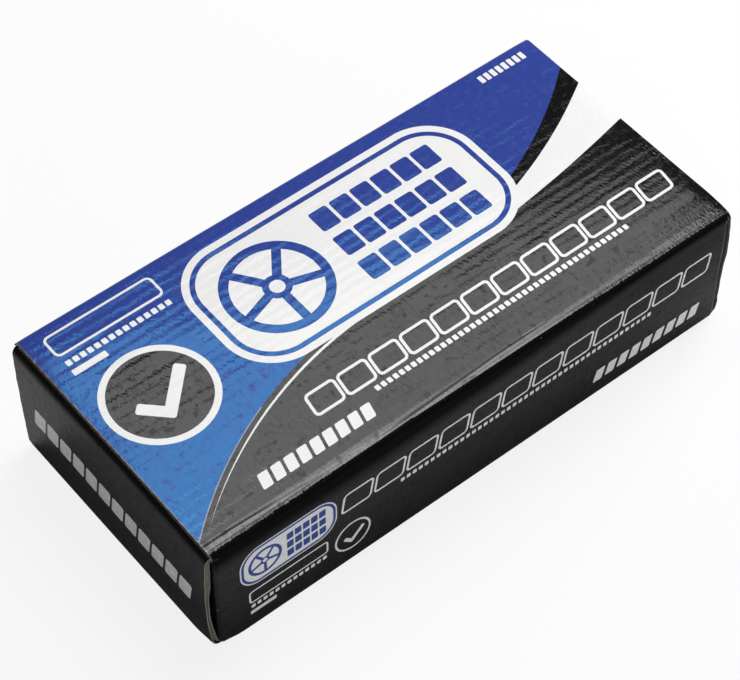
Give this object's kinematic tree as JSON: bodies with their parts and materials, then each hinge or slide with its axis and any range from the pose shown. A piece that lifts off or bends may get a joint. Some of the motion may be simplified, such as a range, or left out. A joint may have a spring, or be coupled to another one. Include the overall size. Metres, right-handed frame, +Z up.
{
  "type": "carton of adhesive wheel balance weights",
  "caption": "Shut retail carton of fluted board, full of adhesive-backed steel wheel balance weights, with tucked end closures and printed colour fields.",
  "frame": {"origin": "centre of the base's flat face, midway between the top panel's raw edges", "axes": "+X along the carton, +Z up; the side with the rounded lower crease and no seam faces -Y"},
  "size_m": [0.1951, 0.093, 0.049],
  "materials": {
    "printed_board": "black and blue print under a gloss varnish, with the flutes showing through"
  },
  "bodies": {
    "root": {"carton": "printed_board"}
  },
  "joints": []
}
